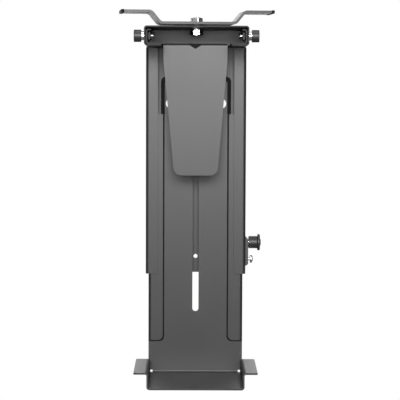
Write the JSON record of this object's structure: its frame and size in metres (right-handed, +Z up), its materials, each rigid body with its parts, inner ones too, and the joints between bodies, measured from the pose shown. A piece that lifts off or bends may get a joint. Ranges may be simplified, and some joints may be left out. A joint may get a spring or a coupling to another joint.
{
  "type": "under-desk cpu holder",
  "caption": "Under-desk computer holder: a swivel carriage over a tall channel with a height-adjustable back panel and tray, a sliding clamp tongue, side knobs and a pull pin.",
  "frame": {"origin": "on the swivel axis, level with the top faces of the carriage wings that run in the desk track", "axes": "+Z up along the swivel axis; -Y towards the open side that the computer goes in from and the clamp slides out to; +X towards the index plunger"},
  "size_m": [0.1776, 0.125, 0.4254],
  "materials": {
    "powder_coat": "black powder coat, fine texture, satin",
    "black_plastic": "moulded black nylon, satin",
    "black_nylon": "low-friction nylon, matt",
    "bright_zinc": "bright zinc plate",
    "black_steel": "black oxide, oiled",
    "spring_steel": "drawn spring wire",
    "foam": "black closed-cell foam sheet"
  },
  "bodies": {
    "carriage": {"carriage_plate": "powder_coat", "glide_cap_left": "black_plastic", "glide_cap_right": "black_plastic", "pivot_bolt": "bright_zinc", "pivot_nut": "bright_zinc", "pivot_washer": "bright_zinc", "thrust_washer": "powder_coat"},
    "frame": {"top_housing": "powder_coat", "upper_channel": "powder_coat", "spacer_washer": "black_nylon", "plunger_plate": "powder_coat", "plunger_bushing": "bright_zinc", "plunger_plate_screw": "bright_zinc", "plunger_spring": "spring_steel", "clamp_nut_left": "black_steel", "clamp_nut_right": "black_steel"},
    "sliding_panel": {"lower_panel": "powder_coat"},
    "clamp": {"clamp_tongue": "powder_coat", "tongue_pad": "foam"},
    "knob_left": {"clamp_knob_left": "black_plastic", "clamp_screw_left": "bright_zinc"},
    "knob_right": {"clamp_knob_right": "black_plastic", "clamp_screw_right": "bright_zinc"},
    "plunger": {"plunger_pin": "bright_zinc", "plunger_knob": "black_plastic"}
  },
  "joints": [
    {"name": "holder_swivel", "type": "hinge", "parent": "carriage", "child": "frame", "pos_m": [0, 0, -0.0174], "axis": [0, 0, 1], "continuous": true},
    {"name": "height_slide", "type": "slide", "parent": "frame", "child": "sliding_panel", "axis": [0, 0, 1], "range_m": [-0.127, 0.0762]},
    {"name": "clamp_slide", "type": "slide", "parent": "frame", "child": "clamp", "axis": [0, -1, 0], "range_m": [-0.005, 0.07]},
    {"name": "knob_left_turn", "type": "hinge", "parent": "frame", "child": "knob_left", "pos_m": [-0.0586, -0.035, -0.0298], "axis": [-1, 0, 0], "range_deg": [0, 540]},
    {"name": "knob_right_turn", "type": "hinge", "parent": "frame", "child": "knob_right", "pos_m": [0.0586, -0.035, -0.0298], "axis": [1, 0, 0], "range_deg": [0, 540]},
    {"name": "plunger_pull", "type": "slide", "parent": "frame", "child": "plunger", "axis": [1, 0, 0], "range_m": [0, 0.005], "stiffness_N_per_m": 1200, "springref_m": -0.004, "deforming": ["plunger_spring"]}
  ]
}
